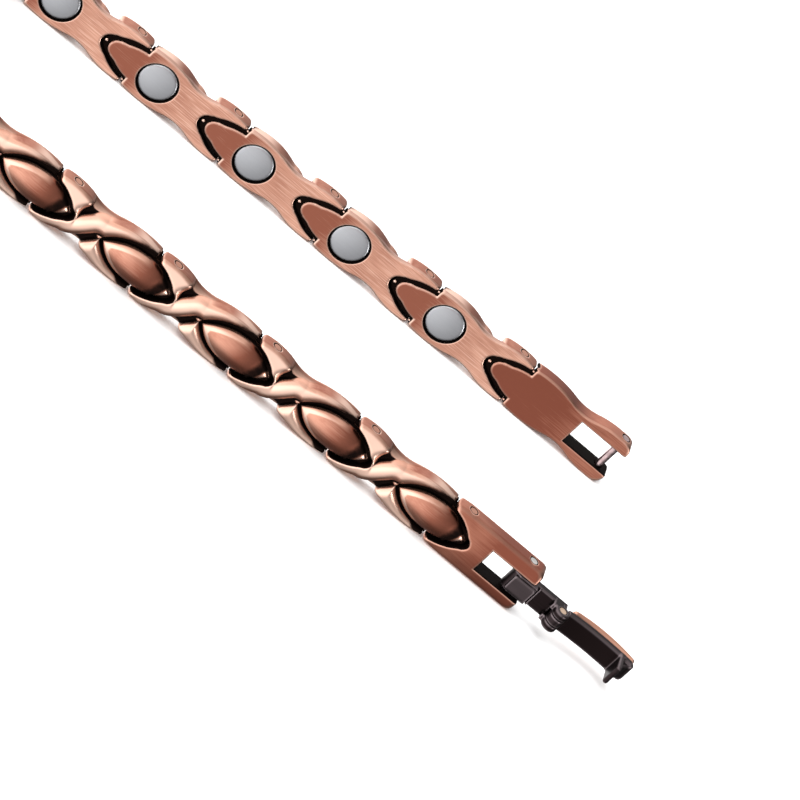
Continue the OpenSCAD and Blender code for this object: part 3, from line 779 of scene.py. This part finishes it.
PATTERN_STEP = (31.0, 7.0, 0)    # from one serial number to the next
EDGE = 0.36                      # room around a shape on the mesher's grid
LINK_LO = (-EDGE, -HALF_W - EDGE, -EDGE)
LINK_HI = (PITCH + TONGUE_L + STEP_L + EDGE, HALF_W + EDGE, EYE_H + EDGE)

# Where the mesher looks for each shape, from corner to corner, and its grid step
LINK_ROOM = LINK_LO, LINK_HI
MAGNET_ROOM = (MAGNET_U - 2.8, -2.8, -0.3), (MAGNET_U + 2.8, 2.8, 1.4)
CLASP_END_ROOM = (-EDGE, -3.8, -EDGE), (13.6, 3.8, 3.0)
BAR_END_ROOM = (-0.7, -3.8, -EDGE), (LINK_HI[0], 3.8, 3.5)
ARM_ROOM = (9.9, -1.7, -0.2), (18.8, 1.7, 3.4)
COVER_ROOM = (16.2, -1.7, 0.3), (28.4, 1.7, 4.2)
CAP_ROOM = (18.5, -1.8, -1.1), (28.5, 1.8, 0.8)
LINK_STEP, MAGNET_STEP, END_STEP, CLASP_STEP, CAP_STEP = 0.13, 0.2, 0.125, 0.07, 0.09


def centre(node):
    lo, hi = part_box(node)
    return (lo + hi) / 2


def chain_frame(pin, towards, shift=0.0):
    """Matrix from u, v, w in mm to the row frame in metres, with the fork pin at pin."""
    along = (towards - pin).normalized()
    along.z = 0
    up = Vector((0, 0, 1))
    turn = Matrix((along, up, along.cross(up))).transposed().to_4x4()
    seat = Matrix.Translation((shift - PIN_U, 0, -MID_H))
    return Matrix.Translation(pin) @ turn @ Matrix.Scale(MM, 4) @ seat


def build(name, mesh, where, looks, serial):
    """One shown piece: its mesh and place, then its body, node, material slot and metal; the slot
    is not used.

    The serial number moves the noise pattern along, so that no two pieces wear the same one.
    """
    points, faces, marks = mesh
    body, node, slot, metal = looks
    m = np.array(where)
    data = bpy.data.meshes.new(name)
    data.from_pydata((points @ m[:3, :3].T + m[:3, 3]).tolist(), [], faces.tolist())
    data.validate()
    data.shade_smooth()
    for key, values in zip(("hollow", "deep", "sharp", "tint"), marks):
        mark = data.attributes.new(key, "FLOAT", "POINT")
        mark.data.foreach_set("value", values.astype(np.float32))
    local = points + serial * np.array(PATTERN_STEP)
    place = data.attributes.new("local", "FLOAT_VECTOR", "POINT")
    place.data.foreach_set("vector", local.astype(np.float32).ravel())
    data.materials.append(metal)
    o = bpy.data.objects.new(name, data)
    bpy.context.scene.collection.objects.link(o)
    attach(o, body)
    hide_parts(node)


def meshed(shape, room, step):
    points, faces = net(shape, *room, step)
    return points, faces, wear(shape, points)


link_mesh = meshed(link, LINK_ROOM, LINK_STEP)
magnet_mesh = meshed(magnet, MAGNET_ROOM, MAGNET_STEP)
pins = [centre(f"joint_pin_{k:02d}") for k in range(1, LINKS + 2)]
for k in range(LINKS):
    where = chain_frame(pins[k], pins[k + 1])
    number = f"{k + 1:02d}"
    build(f"cast_link_{number}", link_mesh, where,
          ("chain", f"link_{number}", "copper", copper), k)
    build(f"round_magnet_{number}", magnet_mesh, where,
          ("chain", f"magnet_{number}", "magnet", steel), k)

bar_frame = chain_frame(pins[0], pins[1], -PITCH)
clasp_frame = chain_frame(pins[-1], centre("clasp_pin"))
build("cast_end_clasp", meshed(clasp_end, CLASP_END_ROOM, END_STEP), clasp_frame,
      ("chain", "end_link_clasp", "copper", end_copper), 20)
build("cast_end_bar", meshed(bar_end, BAR_END_ROOM, END_STEP), bar_frame,
      ("chain", "end_link_bar", "copper", end_copper), 21)
build("arm_piece", meshed(arm, ARM_ROOM, CLASP_STEP), clasp_frame,
      ("arm", "clasp_arm", "clasp_dark", gunmetal), 22)
build("cover_piece", meshed(cover, COVER_ROOM, CLASP_STEP), clasp_frame,
      ("cover", "clasp_cover", "clasp_dark", gunmetal), 23)
build("cap_piece", meshed(cap, CAP_ROOM, CAP_STEP), clasp_frame,
      ("cover", "cover_cap", "cap_copper", cap_copper), 24)

CAD_METALS = {"catch_bar": bar_metal, "clasp_pin": pin_silver, "cover_pin": pin_cream}
for node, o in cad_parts.items():
    o.data.materials.clear()
    o.data.materials.append(CAD_METALS.get(node, joint_pin))


# Stage: floor, lights and camera

FLOOR_HALF, FLOOR_COLOUR = 3.0, (0.9, 0.9, 0.9, 1)
SKY = (  # brightness of the studio by how far a direction lies towards its bright side
    (0.0, 0.04), (0.12, 0.1), (0.22, 0.25), (0.3, 0.6), (0.39, 1.2), (0.5, 1.7), (0.65, 1.9),
    (1.0, 1.9))
SKY_PEAK = 1.9
BRIGHT_SIDE = Vector((-1, 0, 0))
BAND = (  # and its share by how far the direction lies upwards
    (0.0, 0.15), (0.1, 0.3), (0.2, 0.8), (0.28, 1.0), (0.6, 1.0), (0.76, 0.85), (1.0, 0.6))


def floor():
    mesh = bpy.data.meshes.new("floor")
    s = FLOOR_HALF
    mesh.from_pydata([(-s, -s, 0), (s, -s, 0), (s, s, 0), (-s, s, 0)], [], [(0, 1, 2, 3)])
    o = bpy.data.objects.new("floor", mesh)
    bpy.context.scene.collection.objects.link(o)
    m = bpy.data.materials.new("pale_floor")
    m.use_nodes = True
    shader = m.node_tree.nodes["Principled BSDF"]
    shader.inputs["Base Color"].default_value = FLOOR_COLOUR
    shader.inputs["Roughness"].default_value = 1.0
    mesh.materials.append(m)
    o.visible_glossy = False   # the metal mirrors the studio, not the bare floor
    o.visible_shadow = False


floor()


def area_light(name, at, size, power, mirrored):
    """Rectangular light that points at the origin, seen in the metal only where mirrored."""
    data = bpy.data.lights.new(name, "AREA")
    data.shape = "RECTANGLE"
    data.size, data.size_y = size
    data.energy = power
    o = bpy.data.objects.new(name, data)
    o.location = at
    o.rotation_euler = (-Vector(at)).to_track_quat("-Z", "Y").to_euler()
    o.visible_glossy = mirrored
    bpy.context.scene.collection.objects.link(o)


area_light("above", at=(-0.3, -0.2, 1.2), size=(1.6, 1.6), power=26, mirrored=False)
area_light("right", at=(0.9, -0.55, -0.15), size=(0.25, 0.5), power=3, mirrored=True)


def ramp_along(tree, way, axis, stops, peak):
    """Grey level by how far a direction lies along an axis, from 0 against it to 1 with it."""
    dot = tree.nodes.new("ShaderNodeVectorMath")
    dot.operation = "DOT_PRODUCT"
    tree.links.new(way, dot.inputs[0])
    dot.inputs[1].default_value = axis / 2
    share = tree.nodes.new("ShaderNodeMath")
    tree.links.new(dot.outputs["Value"], share.inputs[0])
    share.inputs[1].default_value = 0.5
    ramp = tree.nodes.new("ShaderNodeValToRGB")
    tree.links.new(share.outputs[0], ramp.inputs[0])
    elements = ramp.color_ramp.elements
    for at, level in stops:
        stop = elements[0] if at == 0 else elements[-1] if at == 1 else elements.new(at)
        stop.color = (*[level / peak] * 3, 1)
    return ramp.outputs[0]


def studio():
    """Soft surroundings, bright to the left, dark to the right and dimmer above and below."""
    world = bpy.data.worlds.new("studio")
    bpy.context.scene.world = world
    world.use_nodes = True
    tree = world.node_tree
    back = tree.nodes["Background"]
    way = tree.nodes.new("ShaderNodeTexCoord").outputs["Generated"]
    both = tree.nodes.new("ShaderNodeVectorMath")
    both.operation = "MULTIPLY"
    tree.links.new(ramp_along(tree, way, BRIGHT_SIDE, SKY, SKY_PEAK), both.inputs[0])
    tree.links.new(ramp_along(tree, way, Vector((0, 0, 1)), BAND, 1), both.inputs[1])
    tree.links.new(both.outputs[0], back.inputs["Color"])
    back.inputs["Strength"].default_value = SKY_PEAK


studio()
bpy.context.scene.view_settings.view_transform = "Standard"

# Camera at the photograph's angle
CAM_AZ, CAM_EL, CAM_ROLL = -14.6, 29.1, 47.1
CAM_DIST = 1.0
CAM_SCALE = 8.81          # pixels per millimetre at the camera's distance
CAM_PIXELS = 800          # width of the picture
CAM_SENSOR = 36
CAM_AIM = Vector((0.01898, 0, 0.0017))
CAM_CLIP = 0.05, 20


def camera():
    a, e = math.radians(CAM_AZ), math.radians(CAM_EL)
    forward = Vector((-math.sin(a) * math.cos(e), math.cos(a) * math.cos(e), -math.sin(e)))
    right = Vector((math.cos(a), math.sin(a), 0))
    up = right.cross(forward)
    r = math.radians(CAM_ROLL)
    right, up = (math.cos(r) * right + math.sin(r) * up,
                 -math.sin(r) * right + math.cos(r) * up)
    data = bpy.data.cameras.new("camera")
    o = bpy.data.objects.new("camera", data)
    turn = Matrix((right, up, -forward)).transposed()
    o.matrix_world = Matrix.Translation(CAM_AIM - forward * CAM_DIST) @ turn.to_4x4()
    data.lens = CAM_SENSOR * CAM_SCALE * 1000 / CAM_PIXELS * CAM_DIST
    data.sensor_width = CAM_SENSOR
    data.clip_start, data.clip_end = CAM_CLIP
    bpy.context.scene.collection.objects.link(o)
    bpy.context.scene.camera = o


camera()
